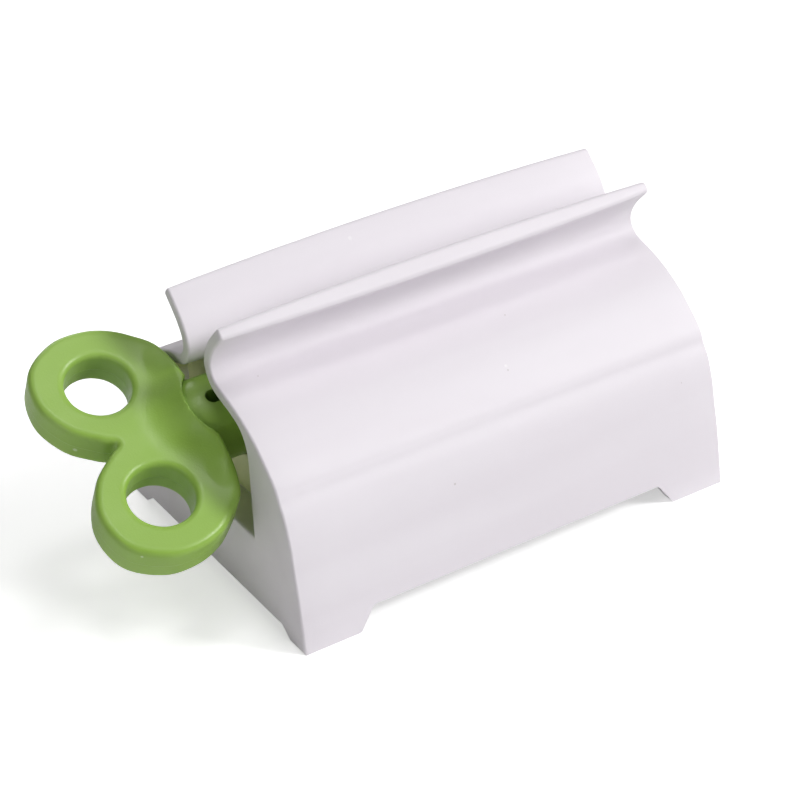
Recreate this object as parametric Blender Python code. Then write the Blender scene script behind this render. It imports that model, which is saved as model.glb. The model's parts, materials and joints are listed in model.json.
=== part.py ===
# Toothpaste tube squeezer: a housing with a slot between two flared lips, and a key with two finger
# rings whose split shaft winds up the tail of the tube inside the housing.
#
# Metres, +Z up. X runs along the housing with the key's handle at -X, and the front faces -Y. The
# origin is on the surface that the feet stand on, below the middle of the whole object.
import math

import bmesh
import bpy
from mathutils import Vector

# Housing
housing_length = 0.0900
end_lean_share = 0.013        # how far each end leans inwards for each unit of height
end_edge_radius = 0.0007
wall = 0.0022
base_half_width = 0.0318
roof_over_bore = 0.00235      # from the top of the bore to the foot of the lips
neck_half_width = 0.0049
lip_reach = 0.0100            # from the middle plane to the end of a lip's outer face
lip_rise = 0.0102             # from the foot of the lips to the end of a lip's outer face
back_lip_crown = 0.0009       # how much higher a lip stands at the middle of its length
front_lip_crown = 0.0007

# Outer face from the foot of the neck down to the base. The first share runs from the neck's half
# width to the base's, the second from the base up to the foot of the lips. The dent at two thirds of
# the height and the swelling below it are the long flutes in the skirt.
skirt_shares = (
    (0.140, 0.988), (0.242, 0.968), (0.381, 0.930), (0.525, 0.874), (0.650, 0.804),
    (0.743, 0.742), (0.780, 0.705), (0.800, 0.671), (0.836, 0.628), (0.866, 0.580),
    (0.892, 0.522), (0.909, 0.469), (0.925, 0.391), (0.947, 0.309), (0.966, 0.217),
    (0.985, 0.097), (1.000, 0.000),
)
# Outer face of a lip and its neck, from the lip's end down. The first share runs from the neck's
# half width to the lip's reach, the second from the foot of the lips to that end.
lip_shares = ((1.000, 1.000), (0.430, 0.705), (0.125, 0.485), (0.000, 0.300), (0.070, 0.150), (0.300, 0.030))

# Opening in each end, with the bearing wall set back behind it
opening_half_width = 0.0162
opening_sill = 0.0158
opening_corner_rise = 0.0050  # height of the rounded corner where the roof turns down
opening_corner_run = 0.0034
bearing_setback = 0.0064
bearing_wall = 0.0024
pocket_wall = 0.0020

# Feet and the cut-away skirt between them
foot_length = 0.0113
foot_slope_run = 0.0031
side_notch_height = 0.0044
foot_width = 0.0046
foot_end_slope_run = 0.0030
end_notch_height = 0.0022
side_notch_radius = 0.0012
end_notch_radius = 0.0006

# Key
axis_height = 0.0310
shaft_radius = 0.00775
bearing_clearance = 0.0003
shaft_past_bearing = 0.0015
shaft_tip_chamfer = 0.0008
tail_slot_width = 0.0026
tail_slot_setback = 0.0034    # from the bottom of the waist to the closed end of the slot
handle_tilt = math.radians(28.4)
handle_gap = 0.0003
handle_drop = 0.0006          # how far the handle's middle lies off the axis, square to its face
handle_thickness = 0.0078
handle_edge_radius = 0.0018
ring_radius = 0.0117
ring_gap = 0.0002             # from the middle plane to the circle of a ring's radius
ring_notch = 0.00235          # from the rings' middles out to the notch between them
finger_hole_radius = 0.00575
finger_hole_draft = 0.0001
finger_hole_edge_radius = 0.0014

# Outline of a ring, as bearings in degrees from the handle's outer end round to the housing's side,
# and the distance from the ring's middle as a share of the ring's radius.
ring_shares = (
    (-65, 0.964), (-35, 0.949), (0, 0.993), (35, 1.039), (70, 1.005), (100, 0.993),
    (125, 1.030), (145, 1.085), (160, 1.165), (175, 1.182), (190, 1.210),
)

waist_radius = 0.0083
waist_depth = 0.0034
hub_step = 0.00025            # how far the swollen waist stands out from the shaft
hub_shelf = 0.0007            # how much of the hub's full radius is left outside the waist
hub_taper = 0.0100
hub_sink = 0.0004             # how far the hub's outer end lies below the handle's face
hub_edge_radius = 0.0008
shoulder_length = 0.0064      # how far the handle's swelling reaches from the housing's side
shoulder_setback = 0.0002
shoulder_squareness = 3.5     # exponent of its cross-section, where 2 gives an ellipse

# The swelling of the handle's side towards the housing, as shares of its length, of the handle's
# half width and of the handle's half thickness.
shoulder_shares = (
    (0.00, 0.856, 0.90), (0.22, 0.831, 1.08), (0.46, 0.780, 1.27), (0.70, 0.712, 1.46),
    (0.86, 0.648, 1.53), (0.96, 0.576, 1.43), (1.00, 0.534, 1.24),
)

# Making
overrun = 0.0020              # how far a cut runs past the face that it opens
skim = 0.00005
bury = 0.0006                 # how far a joined wall reaches into its neighbour
curve_steps = 4
round_steps = 72
crown_station_shares = (-0.5, 0.0, 0.5)

# Worked out from the sizes above
bore_radius = shaft_radius + bearing_clearance
roof_height = axis_height + bore_radius + roof_over_bore
half_length = housing_length / 2
bearing_outer_x = half_length - bearing_setback
bearing_inner_x = bearing_outer_x - bearing_wall
handle_inner_x = half_length - end_lean_share * opening_sill + handle_gap
ring_reaches = [ring_radius * share * math.cos(math.radians(turn)) for turn, share in ring_shares]
ring_x = handle_inner_x - min(ring_reaches)
ring_offset = ring_radius + ring_gap
handle_outer_x = ring_x + max(ring_reaches)
waist_x = handle_inner_x + waist_depth
hub_radius = shaft_radius + hub_step
shaft_tip_x = bearing_outer_x + shaft_past_bearing
tail_slot_x = waist_x - tail_slot_setback
middle_x = (handle_outer_x - half_length) / 2   # the housing's middle, from the whole object's middle


def clear_scene():
    for thing in list(bpy.data.objects):
        bpy.data.objects.remove(thing, do_unlink=True)


# Lines and outlines, as lists of two-number points

def smooth_line(points, steps):
    """A smooth line through the points, with the given steps between each two."""
    line = []
    for index in range(len(points) - 1):
        before = points[max(index - 1, 0)]
        start, end = points[index], points[index + 1]
        after = points[min(index + 2, len(points) - 1)]
        for step in range(steps):
            t = step / steps
            line.append(tuple(
                0.5 * (2 * b + (c - a) * t + (2 * a - 5 * b + 4 * c - d) * t ** 2
                       + (3 * b - a - 3 * c + d) * t ** 3)
                for a, b, c, d in zip(before, start, end, after)))
    line.append(points[-1])
    return line


def arc(centre, radius, start, end, steps):
    """Points on an arc, with its angles in degrees."""
    angles = [math.radians(start + (end - start) * step / steps) for step in range(steps + 1)]
    return [(centre[0] + radius * math.cos(a), centre[1] + radius * math.sin(a)) for a in angles]


def bend(start, corner, end, steps):
    """Points on a smooth bend that leaves start towards corner and arrives at end from it."""
    points = []
    for step in range(steps + 1):
        t = step / steps
        points.append(tuple((1 - t) ** 2 * a + 2 * t * (1 - t) * b + t ** 2 * c
                            for a, b, c in zip(start, corner, end)))
    return points


def rounded(corners, steps):
    """An outline with each corner, given as (point, radius), rounded off."""
    points = []
    count = len(corners)
    for index, (corner, radius) in enumerate(corners):
        here = Vector(corner)
        if not radius:
            points.append(tuple(here))
            continue
        back = (Vector(corners[index - 1][0]) - here).normalized()
        ahead = (Vector(corners[(index + 1) % count][0]) - here).normalized()
        half_angle = back.angle(ahead) / 2
        run = radius / math.tan(half_angle)
        points += bend(here + back * run, here, here + ahead * run, steps)
    return points


def side_normal(before, here, after):
    """The left-hand normal at a point of a line, lengthened so that an offset keeps its distance."""
    first = Vector((here[0] - before[0], here[1] - before[1]))
    second = Vector((after[0] - here[0], after[1] - here[1]))
    if not first.length:
        first = second
    if not second.length:
        second = first
    first.normalize()
    second.normalize()
    normal = Vector((-first.y - second.y, first.x + second.x)).normalized()
    return normal / max(normal.dot(Vector((-first.y, first.x))), 0.5)


def offset_line(line, distance):
    """An open line moved to its left by the distance."""
    moved = []
    for index, point in enumerate(line):
        normal = side_normal(line[max(index - 1, 0)], point, line[min(index + 1, len(line) - 1)])
        moved.append((point[0] + normal.x * distance, point[1] + normal.y * distance))
    return moved


def inset_loop(loop, distance):
    """A closed outline that runs anticlockwise, drawn in by the distance."""
    moved = []
    for index, point in enumerate(loop):
        normal = side_normal(loop[index - 1], point, loop[(index + 1) % len(loop)])
        moved.append((point[0] + normal.x * distance, point[1] + normal.y * distance))
    return moved


def mirrored(line):
    return [(-a, b) for a, b in reversed(line)]


# Meshes and objects

def loft(name, rings):
    """A closed solid through rings of equally many points, anticlockwise as seen from where they lead."""
    mesh = bpy.data.meshes.new(name)
    bm = bmesh.new()
    layers = [[bm.verts.new(point) for point in ring] for ring in rings]
    for lower, upper in zip(layers, layers[1:]):
        for index in range(len(lower)):
            after = (index + 1) % len(lower)
            bm.faces.new((lower[index], lower[after], upper[after], upper[index]))
    bm.faces.new(list(reversed(layers[0])))
    bm.faces.new(layers[-1])
    bm.to_mesh(mesh)
    bm.free()
    mesh.shade_smooth()
    mesh.set_sharp_from_angle(angle=math.radians(35))
    thing = bpy.data.objects.new(name, mesh)
    bpy.context.scene.collection.objects.link(thing)
    return thing


def prism_x(name, outline, low_x, high_x, lean=0.0):
    """An outline of (y, z) points drawn out along X, with both ends leaning inwards."""
    return loft(name, [
        [(low_x + lean * z, y, z) for y, z in outline],
        [(high_x - lean * z, y, z) for y, z in outline],
    ])


def prism_y(name, outline, low_y, high_y):
    """An outline of (x, z) points drawn out along Y."""
    return loft(name, [[(x, y, z) for x, z in outline] for y in (high_y, low_y)])


def prism_z(name, outline, low_z, high_z):
    """An outline of (x, y) points drawn out along Z."""
    return loft(name, [[(x, y, z) for x, y in outline] for z in (low_z, high_z)])


def turned_x(name, profile):
    """A solid turned about X from (x, radius) points that run towards +X."""
    turns = [2 * math.pi * (step + 0.5) / round_steps for step in range(round_steps)]
    return loft(name, [[(x, radius * math.cos(a), radius * math.sin(a)) for a in turns]
                       for x, radius in profile])


def combine(target, tool, operation):
    """Joins or cuts the target with a tool, which is then only a guide."""
    step = target.modifiers.new(tool.name, "BOOLEAN")
    step.operation = operation
    step.solver = "EXACT"
    step.object = tool
    tool.hide_render = True
    tool.display_type = "WIRE"
    tool.parent = target


def plastic(name, colour, roughness):
    material = bpy.data.materials.new(name)
    material.use_nodes = True
    shader = material.node_tree.nodes["Principled BSDF"]
    shader.inputs["Base Color"].default_value = (*colour, 1.0)
    shader.inputs["Roughness"].default_value = roughness
    shader.inputs["Metallic"].default_value = 0.0
    return material


# Housing

def outer_line():
    """The outer face of one side as (y, z) points, from the end of its lip down to the base."""
    lip = [(neck_half_width + out * (lip_reach - neck_half_width), roof_height + up * lip_rise)
           for out, up in lip_shares]
    skirt = [(neck_half_width + out * (base_half_width - neck_half_width), up * roof_height)
             for out, up in skirt_shares]
    line = smooth_line(lip + skirt, curve_steps)
    clear_of_base = [point for point in line if point[1] > 2 * end_edge_radius]
    return clear_of_base + [line[-1]]


def height_on(line, y):
    """The height of a line of falling (y, z) points where it passes y."""
    for (first_y, first_z), (next_y, next_z) in zip(line, line[1:]):
        if first_y <= y <= next_y:
            return first_z + (next_z - first_z) * (y - first_y) / (next_y - first_y)
    return line[-1][1]


def lip_tip(outer_end, inner_end):
    """The half round that closes a lip, from its outer face to its inner face."""
    middle = ((outer_end[0] + inner_end[0]) / 2, (outer_end[1] + inner_end[1]) / 2)
    start = math.degrees(math.atan2(outer_end[1] - middle[1], outer_end[0] - middle[0]))
    return arc(middle, wall / 2, start, start + 180, 2 * curve_steps)[1:-1]


def housing_outline():
    """The cross-section through an end of the housing, anticlockwise as seen from +X."""
    outer = outer_line()
    inner = offset_line(outer, -wall)
    corner_y = opening_half_width - opening_corner_run
    roof = [point for point in inner if point[0] < corner_y or point[1] > roof_height]
    corner_tip = (opening_half_width, height_on(inner, opening_half_width))
    corner_foot = (opening_half_width, corner_tip[1] - opening_corner_rise)
    corner = bend((corner_y, height_on(inner, corner_y)), corner_tip, corner_foot, 2 * curve_steps)
    right = list(reversed(outer)) + lip_tip(outer[0], inner[0]) + roof + corner
    right.append((opening_half_width, opening_sill))
    return right + mirrored(right)


def crowned(share, y, z):
    """A point of the outline at a share of the half length, lifted where it belongs to a lip."""
    crown = back_lip_crown if y > 0 else front_lip_crown
    lift = max(z - roof_height, 0) / lip_rise
    return (half_length * share, y, z + crown * lift * (1 - share ** 2))


def housing_shell():
    """The housing's walls without its bearing walls, with its end edges rounded."""
    outline = housing_outline()
    rings = []
    angles = (0, 30, 60, 90)
    for side, order in ((-1, angles), (1, tuple(reversed(angles)))):
        for angle in order:
            drawn_in = end_edge_radius * (1 - math.sin(math.radians(angle)))
            back = end_edge_radius * (1 - math.cos(math.radians(angle)))
            rings.append([(side * (half_length - end_lean_share * z - back), y, z)
                          for y, z in inset_loop(outline, drawn_in)])
    between = [[crowned(share, y, z) for y, z in outline] for share in crown_station_shares]
    middle = len(angles)
    return loft("housing", rings[:middle] + between + rings[middle:])


def bearing_wall_outline():
    """The outline of a bearing wall, which reaches halfway into the roof that it joins."""
    middle = offset_line(outer_line(), -wall / 2)
    side_y = opening_half_width + bury
    roof = [point for point in middle if point[0] < side_y and point[1] < roof_height]
    right = [(side_y, opening_sill - bury), (side_y, height_on(middle, side_y))] + list(reversed(roof))
    return right + mirrored(right)


def end_cavity_outline():
    """The space between the skirt and the pocket that the end opening leads into."""
    inner = offset_line(outer_line(), -wall - skim)
    pocket_y = opening_half_width + pocket_wall
    skirt = [point for point in inner if point[0] > pocket_y]
    right = [(skirt[-1][0], -overrun)] + list(reversed(skirt))
    right += [(pocket_y, height_on(inner, pocket_y)), (pocket_y, opening_sill - pocket_wall)]
    return right + mirrored(right)


def chamber_outline():
    """The space between the bearing walls, up to the roof that the end openings leave."""
    inner = offset_line(outer_line(), -wall)
    corner_y = opening_half_width - opening_corner_run
    skirt = [point for point in inner if point[0] > corner_y + bury and point[1] < roof_height]
    right = [(skirt[-1][0], -overrun)] + list(reversed(skirt))
    right.append((corner_y, height_on(inner, corner_y) - bury))
    return right + mirrored(right)


def notch_outline(foot, slope_run, height, radius, flare):
    """A notch that widens towards the floor, with its corners and the feet's edges rounded."""
    top = foot - slope_run
    right = [((foot + flare, -overrun), 0), ((foot + flare, -skim), 0), ((foot, -skim), radius),
             ((top, height), radius)]
    left = [((-a, b), radius) for (a, b), radius in reversed(right)]
    return rounded(right + left, curve_steps)


def build_housing():
    housing = housing_shell()
    near_x = bearing_inner_x + skim
    for name, low_x, high_x in (("left_bearing_guide", -bearing_outer_x, -near_x),
                                ("right_bearing_guide", near_x, bearing_outer_x)):
        combine(housing, prism_x(name, bearing_wall_outline(), low_x, high_x), "UNION")
    reach = bearing_outer_x + overrun
    bore = turned_x("bore_cut", ((-reach, bore_radius), (reach, bore_radius)))
    bore.location.z = axis_height
    combine(housing, bore, "DIFFERENCE")
    chamber = prism_x("chamber_cut", chamber_outline(), -bearing_inner_x, bearing_inner_x)
    combine(housing, chamber, "DIFFERENCE")
    reach = half_length - wall
    cavity = prism_x("cavity_cut", end_cavity_outline(), -reach, reach, end_lean_share)
    combine(housing, cavity, "DIFFERENCE")
    side_notch = notch_outline(half_length - foot_length, foot_slope_run, side_notch_height,
                               side_notch_radius, foot_length / 2)
    reach = base_half_width + overrun
    combine(housing, prism_y("side_notch_cut", side_notch, -reach, reach), "DIFFERENCE")
    end_notch = notch_outline(base_half_width - foot_width, foot_end_slope_run, end_notch_height,
                              end_notch_radius, foot_width / 4)
    reach = half_length + overrun
    combine(housing, prism_x("end_notch_cut", end_notch, -reach, reach), "DIFFERENCE")
    housing.location.x = middle_x
    housing.data.materials.append(plastic("housing_plastic", (0.80, 0.78, 0.80), 0.38))
    return housing


# Key. Its own X lies along the shaft, its Z is square to the handle, and its origin is on the axis
# below the housing's middle.

def handle_outline():
    """The handle's outline as (x, y) points, anticlockwise, without the waist's hollow."""
    ring = []
    for turn, share in reversed(ring_shares):
        reach = share * ring_radius
        ring.append((-ring_x - reach * math.cos(math.radians(turn)),
                     ring_offset + reach * math.sin(math.radians(turn))))
    lower = [(x, -y) for x, y in reversed(ring)]
    return smooth_line(ring + [(-ring_x - ring_notch, 0)] + lower, curve_steps)


def handle_plate():
    """The handle's plate with round edges, before its waist and its finger holes are cut."""
    outline = handle_outline()
    rings = []
    angles = (0, 22.5, 45, 67.5, 90)
    half = handle_thickness / 2
    for side, order in ((-1, angles), (1, tuple(reversed(angles)))):
        for angle in order:
            drawn_in = handle_edge_radius * (1 - math.sin(math.radians(angle)))
            back = handle_edge_radius * (1 - math.cos(math.radians(angle)))
            height = side * (half - back) - handle_drop
            rings.append([(x, y, height) for x, y in inset_loop(outline, drawn_in)])
    return loft("winding_key", rings)


def hub():
    """The swelling that carries the handle's face up to the shaft."""
    outer_radius = handle_thickness / 2 - handle_drop - hub_sink
    profile = []
    steps = 4 * curve_steps
    for step in range(steps + 1):
        t = step / steps
        radius = outer_radius + (hub_radius - outer_radius) * (1 - math.cos(math.pi * t)) / 2
        profile.append((-waist_x - hub_shelf - hub_taper * (1 - t), radius))
    corner = (-handle_inner_x - skim - hub_edge_radius, hub_radius - hub_edge_radius)
    edge = arc(corner, hub_edge_radius, 90, 0, curve_steps)
    return turned_x("hub_guide", profile + edge)


def shoulder():
    """The swelling that thickens the handle across both rings, next to the housing."""
    half_width = ring_offset + ring_radius
    flatness = 2 / shoulder_squareness
    rings = []
    for along, across, thick in shoulder_shares:
        x = -handle_inner_x - shoulder_setback - shoulder_length * (1 - along)
        ring = []
        for step in range(round_steps):
            turn = 2 * math.pi * (step + 0.5) / round_steps
            out, up = math.cos(turn), math.sin(turn)
            y = half_width * across * math.copysign(abs(out) ** flatness, out)
            z = handle_thickness / 2 * thick * math.copysign(abs(up) ** flatness, up) - handle_drop
            ring.append((x, y, z))
        rings.append(ring)
    return loft("shoulder_guide", rings)


def shaft():
    """The round shaft, from inside the hub to its chamfered tip."""
    return turned_x("shaft_guide", (
        (-waist_x - hub_sink, shaft_radius),
        (shaft_tip_x - shaft_tip_chamfer, shaft_radius),
        (shaft_tip_x, shaft_radius - shaft_tip_chamfer),
    ))


def finger_hole_cut(name, side):
    """A finger hole's cutter, narrowest in the middle of the handle and rounded at both faces."""
    half = handle_thickness / 2
    mouth_radius = finger_hole_radius + finger_hole_draft + finger_hole_edge_radius
    centre = (mouth_radius, half + skim - finger_hole_edge_radius)
    edge = arc(centre, finger_hole_edge_radius, 180, 90, curve_steps)
    upper = [(finger_hole_radius, 0)] + edge + [(mouth_radius, half + overrun)]
    profile = [(radius, -height) for radius, height in reversed(upper[1:])] + upper
    turns = [2 * math.pi * step / round_steps for step in range(round_steps)]
    cutter = loft(name, [[(radius * math.cos(a), radius * math.sin(a), z) for a in turns]
                         for radius, z in profile])
    cutter.location = (-ring_x, side * ring_offset, -handle_drop)
    return cutter


def tail_slot_outline():
    """The slot that splits the shaft, round at its closed end and open at the tip."""
    half = tail_slot_width / 2
    closed_end = arc((-tail_slot_x + half, 0), half, 90, 270, 2 * curve_steps)
    return closed_end + [(shaft_tip_x + overrun, -half), (shaft_tip_x + overrun, half)]


def build_key():
    key = handle_plate()
    combine(key, shoulder(), "UNION")
    combine(key, hub(), "UNION")
    reach = hub_radius + overrun
    half_turn = 180 / round_steps
    centre = (waist_radius - waist_x, 0)
    waist_outline = arc(centre, waist_radius, half_turn, 360 + half_turn, round_steps)
    combine(key, prism_z("waist_cut", waist_outline[:-1], -reach, reach), "DIFFERENCE")
    combine(key, shaft(), "UNION")
    combine(key, prism_z("tail_slot_cut", tail_slot_outline(), -reach, reach), "DIFFERENCE")
    for name, side in (("back_hole_cut", 1), ("front_hole_cut", -1)):
        combine(key, finger_hole_cut(name, side), "DIFFERENCE")
    key.location = (middle_x, 0, axis_height)
    key.rotation_euler.x = handle_tilt
    key.data.materials.append(plastic("key_plastic", (0.30, 0.56, 0.07), 0.32))
    return key


clear_scene()
build_housing()
build_key()
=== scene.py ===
import json
import math

import bmesh
import bpy
from mathutils import Matrix, Vector


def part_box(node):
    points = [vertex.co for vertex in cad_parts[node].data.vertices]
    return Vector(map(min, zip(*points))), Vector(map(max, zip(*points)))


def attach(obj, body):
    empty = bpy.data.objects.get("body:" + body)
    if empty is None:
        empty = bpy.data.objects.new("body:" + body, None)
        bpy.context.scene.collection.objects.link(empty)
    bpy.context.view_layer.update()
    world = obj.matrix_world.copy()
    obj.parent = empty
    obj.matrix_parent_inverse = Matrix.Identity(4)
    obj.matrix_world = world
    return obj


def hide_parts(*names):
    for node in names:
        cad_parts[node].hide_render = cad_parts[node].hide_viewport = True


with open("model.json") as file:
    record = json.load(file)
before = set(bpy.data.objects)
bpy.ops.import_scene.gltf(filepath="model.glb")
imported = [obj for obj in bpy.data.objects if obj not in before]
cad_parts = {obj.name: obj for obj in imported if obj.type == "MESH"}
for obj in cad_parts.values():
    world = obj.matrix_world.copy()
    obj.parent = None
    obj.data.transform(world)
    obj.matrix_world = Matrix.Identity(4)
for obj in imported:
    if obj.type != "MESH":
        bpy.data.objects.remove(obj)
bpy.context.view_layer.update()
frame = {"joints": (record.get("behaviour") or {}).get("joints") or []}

housingLow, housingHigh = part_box("housing")
keyTurn = frame["joints"][0]
keyAxis = Vector(keyTurn["pos_m"])
middleX = (housingLow.x + housingHigh.x) / 2


# Tools for the modelling, all on one object at a time

def deselectAll():
    if bpy.context.mode != "OBJECT":
        bpy.ops.object.mode_set(mode="OBJECT")
    bpy.ops.object.select_all(action="DESELECT")


def pick(piece):
    deselectAll()
    piece.select_set(True)
    bpy.context.view_layer.objects.active = piece


def smoothLine(points, steps):
    # a smooth line through the points, which may have any number of coordinates
    line = []
    for index in range(len(points) - 1):
        before = points[max(index - 1, 0)]
        start, end = points[index], points[index + 1]
        after = points[min(index + 2, len(points) - 1)]
        for step in range(steps):
            t = step / steps
            line.append(tuple(
                0.5 * (2 * b + (c - a) * t + (2 * a - 5 * b + 4 * c - d) * t ** 2
                       + (3 * b - a - 3 * c + d) * t ** 3)
                for a, b, c, d in zip(before, start, end, after)))
    line.append(tuple(points[-1]))
    return line


def arcLine(centre, radius, startTurn, endTurn, steps):
    turns = [math.radians(startTurn + (endTurn - startTurn) * step / steps) for step in range(steps + 1)]
    return [(centre[0] + radius * math.cos(turn), centre[1] + radius * math.sin(turn)) for turn in turns]


def bendLine(start, corner, end, steps):
    # a bend from start to end that leans towards the corner
    line = []
    for step in range(steps + 1):
        t = step / steps
        line.append(tuple(
            (1 - t) ** 2 * a + 2 * t * (1 - t) * b + t ** 2 * c for a, b, c in zip(start, corner, end)))
    return line


def sideNormal(before, here, after):
    # square to the line at a point, and up to twice as long in a corner, so that the moved line keeps
    # its distance
    first = Vector((here[0] - before[0], here[1] - before[1]))
    second = Vector((after[0] - here[0], after[1] - here[1]))
    first = first if first.length else second
    second = second if second.length else first
    first.normalize()
    second.normalize()
    normal = Vector((-first.y - second.y, first.x + second.x)).normalized()
    return normal / max(normal.dot(Vector((-first.y, first.x))), 0.5)


def offsetLine(line, distance, closed=False):
    # the line moved to its left
    moved = []
    last = len(line) - 1
    for index, point in enumerate(line):
        before = line[index - 1] if closed else line[max(index - 1, 0)]
        after = line[(index + 1) % len(line)] if closed else line[min(index + 1, last)]
        normal = sideNormal(before, point, after)
        moved.append((point[0] + normal.x * distance, point[1] + normal.y * distance))
    return moved


def mirrorLine(line):
    return [(-a, b) for a, b in reversed(line)]


def filletLine(before, corner, after, radius, steps):
    # an arc of the given radius in the corner between two other points
    back = (Vector(before) - Vector(corner)).normalized()
    onward = (Vector(after) - Vector(corner)).normalized()
    half = back.angle(onward) / 2
    centre = Vector(corner) + (back + onward).normalized() * radius / math.sin(half)
    start = Vector(corner) + back * radius / math.tan(half) - centre
    end = Vector(corner) + onward * radius / math.tan(half) - centre
    spokes = [start.lerp(end, step / steps).normalized() for step in range(steps + 1)]
    return [tuple(centre + spoke * radius) for spoke in spokes]


def roundedEdge(radius, steps):
    # how far a rounded edge is drawn in and set back, from the end face to the side
    turns = [math.radians(90 * step / steps) for step in range(steps + 1)]
    return [(radius * (1 - math.sin(turn)), radius * (1 - math.cos(turn))) for turn in turns]


def roundCorners(corners, steps):
    # the outline of the corners, each given with the radius that it gets
    line = []
    for index, (corner, radius) in enumerate(corners):
        here = Vector(corner)
        if not radius:
            line.append(tuple(here))
            continue
        back = (Vector(corners[index - 1][0]) - here).normalized()
        ahead = (Vector(corners[(index + 1) % len(corners)][0]) - here).normalized()
        run = radius / math.tan(back.angle(ahead) / 2)
        line += bendLine(here + back * run, here, here + ahead * run, steps)
    return line


def extrudeThrough(name, rings):
    # a filled circle takes the first outline and is extruded from each outline to the next
    deselectAll()
    bpy.ops.mesh.primitive_circle_add(vertices=len(rings[0]), radius=0.01, fill_type="NGON")
    piece = bpy.context.active_object
    piece.name = name
    piece.data.name = name
    bpy.ops.object.mode_set(mode="EDIT")
    mesh = bmesh.from_edit_mesh(piece.data)
    mesh.verts.ensure_lookup_table()
    ring = list(range(len(mesh.verts)))
    for index, point in zip(ring, rings[0]):
        mesh.verts[index].co = point
    for outline in rings[1:]:
        bpy.ops.mesh.extrude_region_move()
        mesh = bmesh.from_edit_mesh(piece.data)
        mesh.verts.ensure_lookup_table()
        mesh.verts.index_update()
        partner = {}
        for vert in mesh.verts:
            if vert.select:
                for edge in vert.link_edges:
                    other = edge.other_vert(vert)
                    if not other.select:
                        partner[other.index] = vert.index
        ring = [partner[index] for index in ring]
        for index, point in zip(ring, outline):
            mesh.verts[index].co = point
    bmesh.update_edit_mesh(piece.data)
    bpy.ops.mesh.select_all(action="SELECT")
    bpy.ops.mesh.normals_make_consistent(inside=False)
    mesh = bmesh.from_edit_mesh(piece.data)
    if mesh.calc_volume(signed=True) < 0:
        bpy.ops.mesh.flip_normals()
    bpy.ops.object.mode_set(mode="OBJECT")
    return piece


def turnedX(name, profile, sides):
    # (x, radius) points turned about the X axis
    turns = [2 * math.pi * (side + 0.5) / sides for side in range(sides)]
    return extrudeThrough(name, [
        [(x, radius * math.cos(turn), radius * math.sin(turn)) for turn in turns] for x, radius in profile])


def turnedZ(name, profile, sides):
    turns = [2 * math.pi * side / sides for side in range(sides)]
    return extrudeThrough(name, [
        [(radius * math.cos(turn), radius * math.sin(turn), z) for turn in turns] for z, radius in profile])


def combine(piece, tool, operation):
    pick(piece)
    step = piece.modifiers.new(tool.name, "BOOLEAN")
    step.operation = operation
    step.solver = "EXACT"
    step.object = tool
    bpy.ops.object.modifier_apply(modifier=step.name)
    bpy.data.objects.remove(tool, do_unlink=True)


def shadeByAngle(piece, degrees):
    pick(piece)
    bpy.ops.object.shade_smooth_by_angle(angle=math.radians(degrees))


def tidyMesh(piece, distance):
    pick(piece)
    bpy.ops.object.mode_set(mode="EDIT")
    bpy.ops.mesh.select_all(action="SELECT")
    bpy.ops.mesh.remove_doubles(threshold=distance)
    bpy.ops.mesh.dissolve_degenerate(threshold=distance)
    bpy.ops.object.mode_set(mode="OBJECT")


# Housing

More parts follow.
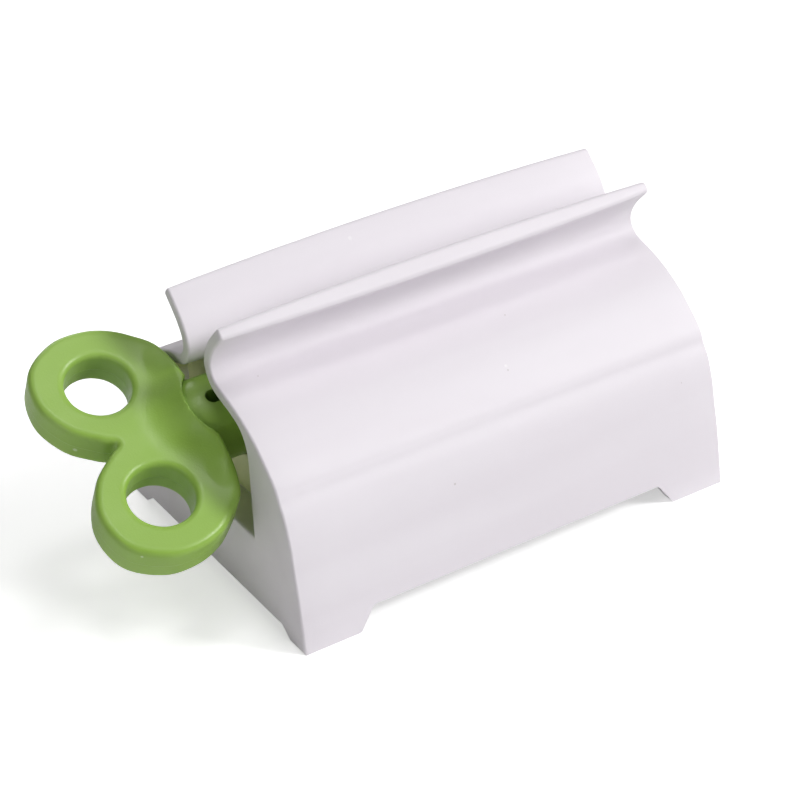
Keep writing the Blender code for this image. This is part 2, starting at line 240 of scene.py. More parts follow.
housingValues = {
    "length": 0.08998,
    "endLean": 0.013,
    "endRound": 0.0005,
    "wall": 0.0022,
    "baseHalfWidth": 0.0318,
    "roofHeight": 0.0414,
    "neckHalfWidth": 0.0049,
    "lipReach": 0.0100,
    "lipHeight": 0.0516,
    "backLipCrown": 0.0009,
    "frontLipCrown": 0.0007,
    "openingHalfWidth": 0.0162,
    "openingSill": 0.0158,
    "openingCornerRise": 0.0050,
    "openingCornerRun": 0.0034,
    "bearingSetback": 0.0064,
    "bearingWall": 0.0024,
    "boreRadius": 0.00805,
    "pocketWall": 0.0020,
    "footLength": 0.0113,
    "footSlopeRun": 0.0031,
    "sideNotchHeight": 0.0044,
    "footWidth": 0.0046,
    "footEndSlopeRun": 0.0030,
    "endNotchHeight": 0.0022,
    "sideNotchRound": 0.0012,
    "endNotchRound": 0.0006,
    "sideNotchFlare": 0.00565,
    "endNotchFlare": 0.00115,
    "lipEnd": 0.0006,
    "lipEndRound": 0.0008,
    # how much thicker a lip's end is at the middle of its length, and how far down that reaches
    "backLipBulge": 0.0002,
    "frontLipBulge": 0.0014,
    "lipBulgeReach": 0.0034,
    # faint flutes of the skirt: height at the left end and at the right end, width, and depth outwards
    "flutes": (
        (0.0295, 0.0278, 0.0009, -0.00005), (0.0258, 0.0250, 0.0014, 0.00006),
        (0.0200, 0.0190, 0.0014, -0.00004),
    ),
    # the flutes lie below this share of the roof's height
    "fluteTopShare": 0.8,
    # how far cutters reach past the solid, the step that keeps two faces out of one plane, and how deep
    # joined forms and neighbouring cuts overlap
    "overrun": 0.0020,
    "skim": 0.00005,
    "bury": 0.0006,
    # the outer face has no point but the last closer to the base than this, so that the rounding of the
    # ends can't fold the outline
    "baseClear": 0.0010,
    "weld": 0.000004,
    "shadeAngle": 35,
    "lineSteps": 8,
    "endSteps": 6,
    "lipEndSteps": 8,
    "roundSides": 144,
    # where the shell has its sections between the two ends, as shares of the half length
    "sectionShares": (-0.85, -0.7, -0.5, -0.25, 0.0, 0.25, 0.5, 0.7, 0.85),
    # outer face from the foot of the neck down to the base, as shares of the half width and of the
    # roof's height
    "skirtShares": (
        (0.140, 0.988), (0.242, 0.968), (0.381, 0.930), (0.525, 0.874), (0.650, 0.804),
        (0.743, 0.742), (0.780, 0.705), (0.800, 0.671), (0.836, 0.628), (0.866, 0.580),
        (0.892, 0.522), (0.909, 0.469), (0.925, 0.391), (0.947, 0.309), (0.966, 0.217),
        (0.985, 0.097), (1.000, 0.000),
    ),
    # outer face of a lip and its neck from the lip's end down, as shares of its reach and of its height
    "lipShares": (
        (1.000, 1.000), (0.430, 0.705), (0.125, 0.485), (0.000, 0.300), (0.070, 0.150), (0.300, 0.030),
    ),
}


def heightOn(line, y):
    # height of a line at a distance from the middle plane
    for (firstY, firstZ), (nextY, nextZ) in zip(line, line[1:]):
        if firstY <= y <= nextY:
            return firstZ + (nextZ - firstZ) * (y - firstY) / (nextY - firstY)
    return line[-1][1]


def outerLine(values):
    # the outer face of one half, from the lip's end down to the base
    neck, roof = values["neckHalfWidth"], values["roofHeight"]
    lip = [(neck + out * (values["lipReach"] - neck), roof + up * (values["lipHeight"] - roof))
           for out, up in values["lipShares"]]
    skirt = [(neck + out * (values["baseHalfWidth"] - neck), up * roof)
             for out, up in values["skirtShares"]]
    line = smoothLine(lip + skirt, values["lineSteps"])
    return [point for point in line if point[1] > values["baseClear"]] + [line[-1]]


def fluteAt(values, z, station):
    # the faint flutes run the whole length of the skirt: station is -1 at the left end and 1 at the right
    total = 0.0
    for leftZ, rightZ, width, depth in values["flutes"]:
        middle = leftZ + (rightZ - leftZ) * (station + 1) / 2
        total += depth * math.exp(-((z - middle) / width) ** 2)
    return total


def halfOutline(values, station, bulge):
    # one half of the section through lip, roof and opening, from the base round to the opening's sill
    outer = outerLine(values)
    inner = offsetLine(outer, -values["wall"])
    side = values["openingHalfWidth"]
    cornerY = side - values["openingCornerRun"]
    roof = [point for point in inner if point[0] < cornerY or point[1] > values["roofHeight"]]
    tip = (side, heightOn(inner, side))
    below = (side, tip[1] - values["openingCornerRise"])
    corner = bendLine((cornerY, heightOn(inner, cornerY)), tip, below, 2 * values["lineSteps"])

    # the lip's end is cut off square to the lip and has rounded edges, which take the place of the first
    # two points of the outer line and of the first point of the inner one
    ahead = (Vector(outer[0]) - Vector(outer[1])).normalized()
    away = Vector((ahead.y, -ahead.x))
    thicker = bulge * (1 - station ** 2)
    shown = []
    for y, z in outer:
        rise = max(1 - (values["lipHeight"] - z) / values["lipBulgeReach"], 0)
        moved = Vector((y, z)) + away * thicker * rise
        if z < values["fluteTopShare"] * values["roofHeight"]:
            moved.x += fluteAt(values, z, station)
        shown.append(tuple(moved))
    tipOuter = Vector(outer[0]) + ahead * values["lipEnd"] + away * thicker
    tipInner = Vector(inner[0]) + ahead * values["lipEnd"]
    tipLine = filletLine(shown[2], tipOuter, tipInner, values["lipEndRound"], values["lipEndSteps"])
    tipLine += filletLine(tipOuter, tipInner, roof[1], values["lipEndRound"], values["lipEndSteps"])
    return list(reversed(shown[2:])) + tipLine + roof[1:] + corner + [(side, values["openingSill"])]


def housingOutline(values, station):
    back = halfOutline(values, station, values["backLipBulge"])
    return back + mirrorLine(halfOutline(values, station, values["frontLipBulge"]))


def housingShell(values):
    half = values["length"] / 2
    rings = []
    edge = roundedEdge(values["endRound"], values["endSteps"])
    for side, order in ((-1, edge), (1, edge[::-1])):
        for drawnIn, back in order:
            rings.append([(side * (half - values["endLean"] * z - back), y, z)
                          for y, z in offsetLine(housingOutline(values, side), drawnIn, closed=True)])
    between = []
    for station in values["sectionShares"]:
        ring = []
        for y, z in housingOutline(values, station):
            crown = values["backLipCrown"] if y > 0 else values["frontLipCrown"]
            lift = max(z - values["roofHeight"], 0) / (values["lipHeight"] - values["roofHeight"])
            ring.append((half * station, y, z + crown * lift * (1 - station ** 2)))
        between.append(ring)
    return extrudeThrough("housingShell", rings[:len(edge)] + between + rings[len(edge):])


def prismX(name, outline, lowX, highX, lean=0.0):
    return extrudeThrough(name, [
        [(lowX + lean * z, y, z) for y, z in outline], [(highX - lean * z, y, z) for y, z in outline]])


def notchLine(foot, slopeRun, height, radius, flare, values):
    # what is cut away between two feet, seen square to the wall; it goes on under the feet by the flare,
    # so that its corner at the foot can be rounded
    low, skim = -values["overrun"], -values["skim"]
    right = [((foot + flare, low), 0), ((foot + flare, skim), 0), ((foot, skim), radius),
             ((foot - slopeRun, height), radius)]
    left = [((-a, b), cornerRadius) for (a, b), cornerRadius in reversed(right)]
    return roundCorners(right + left, values["lineSteps"])


def buildHousing(values):
    shell = housingShell(values)
    half = values["length"] / 2
    side, wall = values["openingHalfWidth"], values["wall"]
    bearingOuter = half - values["bearingSetback"]
    bearingInner = bearingOuter - values["bearingWall"]
    outer = outerLine(values)
    inner = offsetLine(outer, -wall)

    # bearing walls behind the end openings, and their bore
    middle = offsetLine(outer, -wall / 2)
    wallSide = side + values["bury"]
    roof = [point for point in middle if point[0] < wallSide and point[1] < values["roofHeight"]]
    right = [(wallSide, values["openingSill"] - values["bury"]), (wallSide, heightOn(middle, wallSide))]
    right += roof[::-1]
    bearing = right + mirrorLine(right)
    nearX = bearingInner + values["skim"]
    combine(shell, prismX("bearingLeft", bearing, -bearingOuter, -nearX), "UNION")
    combine(shell, prismX("bearingRight", bearing, nearX, bearingOuter), "UNION")
    reach = bearingOuter + values["overrun"]
    boreEnds = ((-reach, values["boreRadius"]), (reach, values["boreRadius"]))
    bore = turnedX("bore", boreEnds, values["roundSides"])
    bore.location.z = keyAxis.z
    combine(shell, bore, "DIFFERENCE")

    # the chamber between the bearing walls
    cornerY = side - values["openingCornerRun"]
    skirtY = cornerY + values["bury"]
    skirt = [point for point in inner if point[0] > skirtY and point[1] < values["roofHeight"]]
    right = [(skirt[-1][0], -values["overrun"])] + skirt[::-1]
    right.append((cornerY, heightOn(inner, cornerY) - values["bury"]))
    combine(shell, prismX("chamber", right + mirrorLine(right), -bearingInner, bearingInner), "DIFFERENCE")

    # the hollow that reaches the end walls, around the pocket of each opening
    deeper = offsetLine(outer, -wall - values["skim"])
    pocketY = side + values["pocketWall"]
    skirt = [point for point in deeper if point[0] > pocketY]
    right = [(skirt[-1][0], -values["overrun"])] + skirt[::-1]
    right += [(pocketY, heightOn(deeper, pocketY)), (pocketY, values["openingSill"] - values["pocketWall"])]
    cavity = prismX("cavity", right + mirrorLine(right), -half + wall, half - wall, values["endLean"])
    combine(shell, cavity, "DIFFERENCE")

    # the skirt cut away between the feet
    notch = notchLine(half - values["footLength"], values["footSlopeRun"], values["sideNotchHeight"],
                      values["sideNotchRound"], values["sideNotchFlare"], values)
    reach = values["baseHalfWidth"] + values["overrun"]
    sideNotch = extrudeThrough("sideNotch", [[(x, y, z) for x, z in notch] for y in (reach, -reach)])
    combine(shell, sideNotch, "DIFFERENCE")
    notch = notchLine(values["baseHalfWidth"] - values["footWidth"], values["footEndSlopeRun"],
                      values["endNotchHeight"], values["endNotchRound"], values["endNotchFlare"], values)
    reach = half + values["overrun"]
    combine(shell, prismX("endNotch", notch, -reach, reach), "DIFFERENCE")

    tidyMesh(shell, values["weld"])
    shell.location.x = middleX
    pick(shell)
    bpy.ops.object.transform_apply(location=True, rotation=True, scale=True)
    shadeByAngle(shell, values["shadeAngle"])
    return shell


housingShellPiece = buildHousing(housingValues)
print("housing shell:", len(housingShellPiece.data.polygons), "faces")


# Key, modelled with the shaft along X and the handle's face square to Z

keyValues = {
    "shaftRadius": 0.00775,
    "shaftTip": 0.0401,
    "tipChamfer": 0.0008,
    "tailSlotWidth": 0.0026,
    "tailSlotEnd": 0.045095,
    "tilt": 28.4,
    "handleInner": 0.045095,
    "drop": 0.0006,
    "thickness": 0.0078,
    "rimRound": 0.0012,
    "ringX": 0.059000,
    "ringOffset": 0.0119,
    "ringRadius": 0.0117,
    "ringNotch": 0.00235,
    "holeRadius": 0.00575,
    "holeDraft": 0.0001,
    "holeRound": 0.0011,
    # outline of a ring: bearing in degrees from the handle's outer end, and share of the ring's radius
    "ringShares": (
        (-65, 0.964), (-35, 0.949), (0, 0.993), (35, 1.039), (70, 1.005), (100, 0.993),
        (125, 1.030), (145, 1.085), (160, 1.165), (175, 1.182), (190, 1.210),
    ),
    "waistRadius": 0.0083,
    "waistX": 0.048495,
    "waistTurn": 0.5,
    # the swelling towards the housing: distance from the middle, its height there on the upper and on the
    # lower face, where it begins and where it reaches that height
    "swelling": (
        (0.000, 0.0048, 0.0036, -0.0574, -0.0485), (0.003, 0.0044, 0.0033, -0.0569, -0.0480),
        (0.005, 0.0038, 0.0029, -0.0562, -0.0472), (0.007, 0.0031, 0.0024, -0.0552, -0.0464),
        (0.010, 0.0024, 0.0019, -0.0536, -0.0455), (0.013, 0.0014, 0.0012, -0.0528, -0.0452),
        (0.016, 0.0005, 0.0004, -0.0522, -0.0455), (0.019, 0.0000, 0.0000, -0.0520, -0.0460),
        (0.024, 0.0000, 0.0000, -0.0520, -0.0470),
    ),
    "swellingBend": 2.4,
    "shoulderLength": 0.0064,
    "shoulderSetback": 0.0002,
    "shoulderSquareness": 3.5,
    # sections of the shoulder, as shares of its length, of the half width and of the half thickness
    "shoulderShares": (
        (0.00, 0.856, 0.90), (0.22, 0.831, 1.08), (0.46, 0.780, 1.27), (0.70, 0.712, 1.46),
        (0.86, 0.648, 1.53), (0.96, 0.576, 1.43), (1.00, 0.534, 1.24),
    ),
    "shaftStart": 0.0486,
    "shaftStartRadius": 0.0069,
    "shaftFull": 0.0466,
    "overrun": 0.0020,
    "shadeAngle": 35,
    "lineSteps": 8,
    "edgeSteps": 8,
    "shoulderSteps": 3,
    "swellingSteps": 6,
    "slotEndSteps": 24,
    "sides": 144,
    # the blend between the shoulder and the faces: rounds of smoothing, where it begins and is full, and
    # how squarely to the face a spot has to look for no part and for all of it
    "blendSteps": 40,
    "blendFrom": -0.0533,
    "blendFull": -0.0518,
    "blendFacing": (0.35, 0.70),
    "voxel": 0.00022,
    "edgeSmoothing": 5,
    "smoothingFactor": 0.5,
}


def handlePlate(values):
    ring = []
    for turn, share in reversed(values["ringShares"]):
        reach = share * values["ringRadius"]
        ring.append((-values["ringX"] - reach * math.cos(math.radians(turn)),
                     values["ringOffset"] + reach * math.sin(math.radians(turn))))
    lower = [(x, -y) for x, y in reversed(ring)]
    outline = smoothLine(ring + [(-values["ringX"] - values["ringNotch"], 0)] + lower, values["lineSteps"])
    half = values["thickness"] / 2
    rings = []
    edge = roundedEdge(values["rimRound"], values["edgeSteps"])
    for side, order in ((-1, edge), (1, edge[::-1])):
        for drawnIn, back in order:
            rings.append([(x, y, side * (half - back) - values["drop"])
                          for x, y in offsetLine(outline, drawnIn, closed=True)])
    return extrudeThrough("handlePlate", rings)


def swellingAt(values, table, x, y, upper):
    # how much the swelling adds to the plate at a place of its face
    away = min(abs(y), table[-1][0])
    index = 0
    while index < len(table) - 2 and table[index + 1][0] < away:
        index += 1
    first, last = table[index], table[index + 1]
    share = (away - first[0]) / (last[0] - first[0])
    _, high, low, start, end = (a + (b - a) * share for a, b in zip(first, last))
    along = max(min((x - start) / (end - start), 1), 0)
    return (high if upper else low) * along ** values["swellingBend"]


def swellPlate(piece, values):
    # the plate grows thicker towards the housing, by a height field that no edit tool gives
    half, middle = values["thickness"] / 2, -values["drop"]
    table = smoothLine(values["swelling"], values["swellingSteps"])
    for vert in piece.data.vertices:
        added = swellingAt(values, table, vert.co.x, vert.co.y, vert.co.z > middle)
        vert.co.z = middle + (vert.co.z - middle) * (1 + added / half)
    piece.data.update()


def handleShoulder(values):
    # a rounded bar across both rings, where the handle is thickest next to the housing
    halfWidth = values["ringOffset"] + values["ringRadius"]
    flatness = 2 / values["shoulderSquareness"]
    rings = []
    for along, across, thick in smoothLine(values["shoulderShares"], values["shoulderSteps"]):
        x = -values["handleInner"] - values["shoulderSetback"] - values["shoulderLength"] * (1 - along)
        ring = []
        for side in range(values["sides"]):
            turn = 2 * math.pi * (side + 0.5) / values["sides"]
            out, up = math.cos(turn), math.sin(turn)
            y = halfWidth * across * math.copysign(abs(out) ** flatness, out)
            z = values["thickness"] / 2 * thick * math.copysign(abs(up) ** flatness, up) - values["drop"]
            ring.append((x, y, z))
        rings.append(ring)
    return extrudeThrough("handleShoulder", rings)


def softenGroup(piece, weightAt, factor, steps):
    # smooths the mesh by as much as weightAt gives for each vertex
    group = piece.vertex_groups.new(name="soften")
    for vert in piece.data.vertices:
        weight = weightAt(vert)
        if weight > 0:
            group.add([vert.index], weight, "REPLACE")
    soften = piece.modifiers.new("soften", "SMOOTH")
    soften.factor = factor
    soften.iterations = steps
    soften.vertex_group = group.name
    pick(piece)
    bpy.ops.object.modifier_apply(modifier=soften.name)
    piece.vertex_groups.clear()


def remeshVoxel(piece, size):
    pick(piece)
    remesh = piece.modifiers.new("remesh", "REMESH")
    remesh.mode = "VOXEL"
    remesh.voxel_size = size
    bpy.ops.object.modifier_apply(modifier=remesh.name)


def fingerHole(name, side, values):
    half = values["thickness"] / 2
    mouth = values["holeRadius"] + values["holeDraft"] + values["holeRound"]
    edge = arcLine((mouth, half - values["holeRound"]), values["holeRound"], 180, 90, values["edgeSteps"])
    upper = [(height, radius) for radius, height in edge] + [(half + values["overrun"], mouth)]
    lower = [(-height, radius) for height, radius in reversed(upper)]
    hole = turnedZ(name, lower + [(0, values["holeRadius"])] + upper, values["sides"])
    hole.location = (-values["ringX"], side * values["ringOffset"], -values["drop"])
    return hole


def buildKey(values):
    handle = handlePlate(values)
    for name, side in (("backHole", 1), ("frontHole", -1)):
        combine(handle, fingerHole(name, side, values), "DIFFERENCE")
    remeshVoxel(handle, values["voxel"])
    swellPlate(handle, values)
    combine(handle, handleShoulder(values), "UNION")

    # the shoulder runs into the plate's two faces as in a moulding
    remeshVoxel(handle, values["voxel"])

    def faceWeight(vert):
        none, full = values["blendFacing"]
        along = (vert.co.x - values["blendFrom"]) / (values["blendFull"] - values["blendFrom"])
        facing = (abs(vert.normal.z) - none) / (full - none)
        return max(min(along, 1), 0) * max(min(facing, 1), 0)

    softenGroup(handle, faceWeight, values["smoothingFactor"], values["blendSteps"])

    # a round bar cuts the waist, turned by half a degree so that none of its corners lies at y = 0
    reach = values["waistRadius"] + values["overrun"]
    sides = values["sides"]
    centre, turn = (values["waistRadius"] - values["waistX"], 0), values["waistTurn"]
    outline = arcLine(centre, values["waistRadius"], turn, turn + 360, sides)[:-1]
    waist = extrudeThrough("waist", [[(x, y, z) for x, y in outline] for z in (-reach, reach)])
    combine(handle, waist, "DIFFERENCE")

    # the edges of the cuts are slightly rounded
    remeshVoxel(handle, values["voxel"])
    softenGroup(handle, lambda vert: 1.0, values["smoothingFactor"], values["edgeSmoothing"])

    # the shaft, and the slot that takes the tube's tail
    tip, radius, chamfer = values["shaftTip"], values["shaftRadius"], values["tipChamfer"]
    profile = ((-values["shaftStart"], values["shaftStartRadius"]), (-values["shaftFull"], radius),
               (tip - chamfer, radius), (tip, radius - chamfer))
    combine(handle, turnedX("shaft", profile, sides), "UNION")
    half = values["tailSlotWidth"] / 2
    outline = arcLine((-values["tailSlotEnd"] + half, 0), half, 90, 270, values["slotEndSteps"])
    outline += [(tip + values["overrun"], -half), (tip + values["overrun"], half)]
    slot = extrudeThrough("tailSlot", [[(x, y, z) for x, y in outline] for z in (-reach, reach)])
    combine(handle, slot, "DIFFERENCE")

    handle.name = "windingKeyMoulding"
    handle.rotation_euler.x = math.radians(values["tilt"])
    handle.location = (middleX, keyAxis.y, keyAxis.z)
    pick(handle)
    bpy.ops.object.transform_apply(location=True, rotation=True, scale=True)
    shadeByAngle(handle, values["shadeAngle"])
    return handle


keyPiece = buildKey(keyValues)
print("key:", len(keyPiece.data.polygons), "faces")


# Materials

materialValues = {
    "housingColour": (0.800, 0.762, 0.807),
    "housingFlow": (0.770, 0.728, 0.775),
    "housingSpeck": (0.42, 0.38, 0.36),
    "housingRoughness": (0.50, 0.60),
    # painted shade and painted reflection of the key's green on the wall behind it: their colour there and
    # the hollow that they fill
    "paintedShadeReflectionColour": (0.72, 0.745, 0.42),
    "paintedShadeLow": (-0.0316, -0.0163, 0.0157),
    "paintedShadeHigh": (-0.0225, 0.0163, 0.0385),
    "paintedShadeEdge": 0.0004,
    # the roof over that hollow stays white, without the painted shade: how far it looks up, and its height
    "roofFacing": (0.1, 0.3),
    "roofHeights": (0.024, 0.026),
    "keyColour": (0.280, 0.470, 0.070),
    "keyPale": (0.310, 0.500, 0.095),
    "keyRoughness": (0.32, 0.44),
    "keyPartingColour": (0.40, 0.60, 0.16),
    "partingWidth": 0.00012,
    "partingHeight": 0.00006,
    "partingShare": 0.6,
    # single marks that the photograph shows: place and radius
    "housingDots": ((0.02293, -0.01331, 0.03934, 0.00022), (-0.02404, -0.00778, 0.04118, 0.00020),
                    (0.00105, -0.02911, 0.02058, 0.00030), (0.01764, -0.02170, 0.03393, 0.00022)),
    # pale scuffs; the one high on the back lip is a painted highlight where a scratch catches the light
    "housingScuffsAndGlints": ((0.00399, 0.00686, 0.05241, 0.00050), (0.01764, -0.02110, 0.03450, 0.00040)),
    "speckShare": 0.45,
    "scuffAndGlintColour": (0.90, 0.88, 0.90),
    "keyGates": ((-0.05396, 0.00427, 0.03154, 0.00055), (-0.05422, -0.01918, 0.02277, 0.00035)),
    "gateColour": (0.62, 0.74, 0.42),
    "gateShare": 0.7,
    "markCoreShare": 0.4,
    "grainNoise": {"Scale": 2600.0, "Detail": 3.0, "Roughness": 0.6},
    "grainRange": (0.3, 0.7),
    "flowNoise": {"Scale": 90.0, "Detail": 2.0, "Roughness": 0.5},
    "flowStretch": (0.12, 1.0, 1.0),
    "flowRange": (0.35, 0.65),
    "speckScale": 62.0,
    "speckRange": (0.012, 0.006),
    "housingGrainDepth": 0.000010,
    "keyGrainDepth": 0.000030,
}


def node(tree, kind, **inputs):
    made = tree.nodes.new(kind)
    for name, value in inputs.items():
        made.inputs[name.replace("_", " ")].default_value = value
    return made


def mathNode(tree, operation, first, second=None):
    made = tree.nodes.new("ShaderNodeMath")
    made.operation = operation
    for socket, value in zip(made.inputs, (first, second)):
        if isinstance(value, (int, float)):
            socket.default_value = value
        elif value is not None:
            tree.links.new(value, socket)
    return made.outputs[0]


def rangeNode(tree, value, low, high, toLow=0.0, toHigh=1.0):
    made = node(tree, "ShaderNodeMapRange", From_Min=low, From_Max=high, To_Min=toLow, To_Max=toHigh)
    made.interpolation_type = "SMOOTHSTEP"
    tree.links.new(value, made.inputs["Value"])
    return made.outputs["Result"]


def mixNode(tree, share, first, second):
    # the colours of this node are its inputs 6 and 7 and its output 2
    made = tree.nodes.new("ShaderNodeMix")
    made.data_type = "RGBA"
    tree.links.new(share, made.inputs[0])
    for socket, value in ((made.inputs[6], first), (made.inputs[7], second)):
        if isinstance(value, tuple):
            socket.default_value = (*value, 1.0)
        else:
            tree.links.new(value, socket)
    return made.outputs[2]


def grainGroup(values):
    # the surface of moulded plastic: fine grain, flow along the length and a few specks
    group = bpy.data.node_groups.new("mouldedGrain", "ShaderNodeTree")
    group.interface.new_socket("Vector", in_out="INPUT", socket_type="NodeSocketVector")
    for name in ("Grain", "Flow", "Speck"):
        group.interface.new_socket(name, in_out="OUTPUT", socket_type="NodeSocketFloat")
    start, end = group.nodes.new("NodeGroupInput"), group.nodes.new("NodeGroupOutput")
    place = start.outputs["Vector"]
    grain = node(group, "ShaderNodeTexNoise", **values["grainNoise"])
    group.links.new(place, grain.inputs["Vector"])
    stretched = node(group, "ShaderNodeMapping", Scale=values["flowStretch"])
    group.links.new(place, stretched.inputs["Vector"])
    flow = node(group, "ShaderNodeTexNoise", **values["flowNoise"])
    group.links.new(stretched.outputs["Vector"], flow.inputs["Vector"])
    cells = node(group, "ShaderNodeTexVoronoi", Scale=values["speckScale"])
    group.links.new(place, cells.inputs["Vector"])
    speck = rangeNode(group, cells.outputs["Distance"], *values["speckRange"])
    group.links.new(grain.outputs["Fac"], end.inputs["Grain"])
    group.links.new(flow.outputs["Fac"], end.inputs["Flow"])
    group.links.new(speck, end.inputs["Speck"])
    return group


def startMaterial(name, group):
    material = bpy.data.materials.new(name)
    material.use_nodes = True
    tree = material.node_tree
    place = tree.nodes.new("ShaderNodeTexCoord")
    surface = tree.nodes.new("ShaderNodeGroup")
    surface.node_tree = group
    tree.links.new(place.outputs["Object"], surface.inputs["Vector"])
    return material, tree, tree.nodes["Principled BSDF"], place, surface


def bumpNode(tree, height, depth):
    bump = node(tree, "ShaderNodeBump", Strength=1.0, Distance=depth)
    tree.links.new(height, bump.inputs["Height"])
    return bump


def marksMask(tree, place, marks, core):
    # one within the core's share of a mark's radius, and zero outside the mark
    mask = None
    for x, y, z, radius in marks:
        away = tree.nodes.new("ShaderNodeVectorMath")
        away.operation = "DISTANCE"
        away.inputs[1].default_value = (x, y, z)
        tree.links.new(place.outputs["Object"], away.inputs[0])
        spot = rangeNode(tree, away.outputs["Value"], radius, core * radius)
        mask = spot if mask is None else mathNode(tree, "MAXIMUM", mask, spot)
    return mask


def flowColour(values, tree, surface, first, second):
    flow = rangeNode(tree, surface.outputs["Flow"], *values["flowRange"])
    return mixNode(tree, flow, values[first], values[second])


def grainRoughness(values, tree, surface, shader, name):
    roughness = rangeNode(tree, surface.outputs["Grain"], *values["grainRange"], *values[name])
    tree.links.new(roughness, shader.inputs["Roughness"])


def housingPlastic(values, group):
    material, tree, shader, place, surface = startMaterial("housingPlastic", group)
    core = values["markCoreShare"]
    split = tree.nodes.new("ShaderNodeSeparateXYZ")
    tree.links.new(place.outputs["Object"], split.inputs[0])
    facing = tree.nodes.new("ShaderNodeSeparateXYZ")
    tree.links.new(place.outputs["Normal"], facing.inputs[0])
    colour = flowColour(values, tree, surface, "housingColour", "housingFlow")

    # painted shade and painted green reflection of the key inside the left opening, but not on the roof
    # above it
    inside = None
    for axis, low, high in zip("XYZ", values["paintedShadeLow"], values["paintedShadeHigh"]):
        out = split.outputs[axis]
        above = rangeNode(tree, out, low, low + values["paintedShadeEdge"])
        below = rangeNode(tree, out, high, high - values["paintedShadeEdge"])
        both = mathNode(tree, "MULTIPLY", above, below)
        inside = both if inside is None else mathNode(tree, "MULTIPLY", inside, both)
    roof = mathNode(tree, "MULTIPLY", rangeNode(tree, facing.outputs["Z"], *values["roofFacing"]),
                    rangeNode(tree, split.outputs["Z"], *values["roofHeights"]))
    paintedShade = mathNode(tree, "MULTIPLY", inside, mathNode(tree, "SUBTRACT", 1.0, roof))
    # the olive colour mixed in here is painted shade and painted reflection of the key's green
    colour = mixNode(tree, paintedShade, colour, values["paintedShadeReflectionColour"])

    # dark specks, and pale scuffs, of which the one high on the back lip is a painted highlight of a
    # glinting scratch
    dots = marksMask(tree, place, values["housingDots"], core)
    dots = mathNode(tree, "MAXIMUM", surface.outputs["Speck"], dots)
    dots = mathNode(tree, "MULTIPLY", dots, values["speckShare"])
    colour = mixNode(tree, dots, colour, values["housingSpeck"])
    scuffsAndGlints = marksMask(tree, place, values["housingScuffsAndGlints"], core)
    scuffsAndGlints = mathNode(tree, "MULTIPLY", scuffsAndGlints, surface.outputs["Grain"])
    colour = mixNode(tree, scuffsAndGlints, colour, values["scuffAndGlintColour"])
    tree.links.new(colour, shader.inputs["Base Color"])
    grainRoughness(values, tree, surface, shader, "housingRoughness")
    bump = bumpNode(tree, surface.outputs["Grain"], values["housingGrainDepth"])
    tree.links.new(bump.outputs["Normal"], shader.inputs["Normal"])
    return material


def keyPlastic(values, group, tilt, drop):
    material, tree, shader, place, surface = startMaterial("keyPlastic", group)
    colour = flowColour(values, tree, surface, "keyColour", "keyPale")

    # the mould's parting line runs round at half the handle's thickness
    offset = node(tree, "ShaderNodeVectorMath")
    offset.operation = "DOT_PRODUCT"
    offset.inputs[1].default_value = (0.0, -math.sin(tilt), math.cos(tilt))
    tree.links.new(place.outputs["Object"], offset.inputs[0])
    plane = keyAxis.z * math.cos(tilt) - keyAxis.y * math.sin(tilt) - drop
    away = mathNode(tree, "ABSOLUTE", mathNode(tree, "SUBTRACT", offset.outputs["Value"], plane))
    parting = rangeNode(tree, away, values["partingWidth"], 0.0)
    seam = mathNode(tree, "MULTIPLY", parting, values["partingShare"])
    colour = mixNode(tree, seam, colour, values["keyPartingColour"])

    # the marks where the moulding was broken off its runners
    gates = marksMask(tree, place, values["keyGates"], values["markCoreShare"])
    gates = mathNode(tree, "MULTIPLY", gates, values["gateShare"])
    colour = mixNode(tree, gates, colour, values["gateColour"])

    tree.links.new(colour, shader.inputs["Base Color"])
    grainRoughness(values, tree, surface, shader, "keyRoughness")
    grain = bumpNode(tree, surface.outputs["Grain"], values["keyGrainDepth"])
    ridge = bumpNode(tree, parting, values["partingHeight"])
    tree.links.new(grain.outputs["Normal"], ridge.inputs["Normal"])
    tree.links.new(ridge.outputs["Normal"], shader.inputs["Normal"])
    return material


grain = grainGroup(materialValues)
housingShellPiece.data.materials.clear()
housingShellPiece.data.materials.append(housingPlastic(materialValues, grain))
keyPiece.data.materials.clear()
keyTilt = math.radians(keyValues["tilt"])
keyPiece.data.materials.append(keyPlastic(materialValues, grain, keyTilt, keyValues["drop"]))
print("materials ready")

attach(housingShellPiece, "housing_body")
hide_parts("housing")
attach(keyPiece, "key_body")
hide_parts("winding_key")


# Floor, light and camera

studio = {
    "floorSize": 6.0,
    "floorColour": (0.90, 0.90, 0.90),
    "floorRoughness": 0.9,
    # what the floor's white gains where the camera sees it, and the even light from all round
    "floorLift": 0.52,
    "ambient": 0.11,
    "aimHeight": 0.02,
    # name, direction towards the lamp, its distance, its size and its share of the light
    "lamps": (
        ("softboxMain", (0.61, -0.56, 0.56), 1.8, 0.50, 0.73),
        ("softboxTop", (0.08, -0.04, 1.00), 1.6, 0.42, 0.18),
        ("softboxFront", (0.12, -0.36, 0.92), 1.6, 0.60, 0.10),
        ("softboxLeft", (-0.90, -0.36, 0.10), 1.6, 0.70, 0.14),
        ("softboxBack", (0.20, 0.85, 0.48), 1.8, 0.90, 0.22),
    ),
}


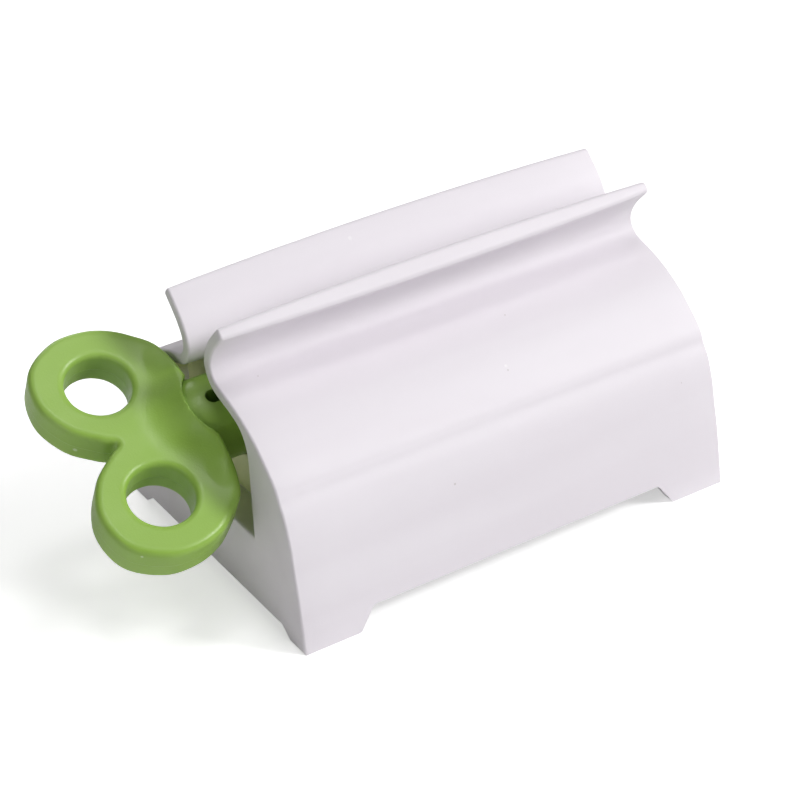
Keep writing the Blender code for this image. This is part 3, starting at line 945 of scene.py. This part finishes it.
def buildFloor(values):
    deselectAll()
    bpy.ops.mesh.primitive_plane_add(size=values["floorSize"])
    floor = bpy.context.active_object
    floor.name = "floor"
    material = bpy.data.materials.new("floorPaper")
    material.use_nodes = True
    nodes, links = material.node_tree.nodes, material.node_tree.links
    shader = nodes["Principled BSDF"]
    shader.inputs["Base Color"].default_value = (*values["floorColour"], 1.0)
    shader.inputs["Roughness"].default_value = values["floorRoughness"]
    path = nodes.new("ShaderNodeLightPath")
    lift = nodes.new("ShaderNodeMath")
    lift.operation = "MULTIPLY"
    lift.inputs[1].default_value = values["floorLift"]
    links.new(path.outputs["Is Camera Ray"], lift.inputs[0])
    shader.inputs["Emission Color"].default_value = (1.0, 1.0, 1.0, 1.0)
    links.new(lift.outputs[0], shader.inputs["Emission Strength"])
    floor.data.materials.append(material)


def buildWorld(values):
    # plain white for the camera, and the weaker ambient light for all other rays
    world = bpy.data.worlds.new("studio")
    bpy.context.scene.world = world
    world.use_nodes = True
    nodes, links = world.node_tree.nodes, world.node_tree.links
    background = nodes["Background"]
    background.inputs["Color"].default_value = (1.0, 1.0, 1.0, 1.0)
    path = nodes.new("ShaderNodeLightPath")
    strength = nodes.new("ShaderNodeMapRange")
    strength.inputs["To Min"].default_value = values["ambient"]
    strength.inputs["To Max"].default_value = 1.0
    links.new(path.outputs["Is Camera Ray"], strength.inputs["Value"])
    links.new(strength.outputs["Result"], background.inputs["Strength"])


def buildLamps(values):
    aim = Vector((0, 0, values["aimHeight"]))
    for name, direction, distance, size, share in values["lamps"]:
        towards = Vector(direction).normalized()
        deselectAll()
        bpy.ops.object.light_add(type="AREA", location=towards * distance + aim)
        lamp = bpy.context.active_object
        lamp.name = name
        lamp.data.size = size
        # a share of 1 would light white paper that faces the lamp to plain white
        lamp.data.energy = math.pi ** 2 * distance ** 2 * share
        lamp.rotation_euler = towards.to_track_quat("Z", "Y").to_euler()


# the photograph's view: degrees, metres, and millimetres for the lens and the sensor
view = {
    "azimuth": 30.573,
    "elevation": 31.551,
    "roll": -3.352,
    "distance": 0.45012,
    "focal": 110.34,
    "target": (-0.003217, 0.002315, 0.018899),
    "sensorWidth": 36,
    "clipNear": 0.01,
    "clipFar": 20,
}


def buildCamera(values):
    azimuth, elevation, roll = (math.radians(values[name]) for name in ("azimuth", "elevation", "roll"))
    forward = Vector((math.sin(azimuth) * math.cos(elevation), math.cos(azimuth) * math.cos(elevation),
                      -math.sin(elevation)))
    level = Vector((math.cos(azimuth), -math.sin(azimuth), 0))
    upright = level.cross(forward)
    right = level * math.cos(roll) + upright * math.sin(roll)
    up = upright * math.cos(roll) - level * math.sin(roll)
    turned = Matrix((right, up, -forward)).transposed().to_4x4()
    turned.translation = Vector(values["target"]) + Vector((middleX, 0, 0)) - forward * values["distance"]
    deselectAll()
    bpy.ops.object.camera_add()
    camera = bpy.context.active_object
    camera.matrix_world = turned
    camera.data.sensor_width = values["sensorWidth"]
    camera.data.lens = values["focal"]
    camera.data.clip_start = values["clipNear"]
    camera.data.clip_end = values["clipFar"]
    bpy.context.scene.camera = camera


buildFloor(studio)
buildWorld(studio)
buildLamps(studio)
buildCamera(view)
bpy.context.scene.view_settings.view_transform = "Standard"
print("studio ready")
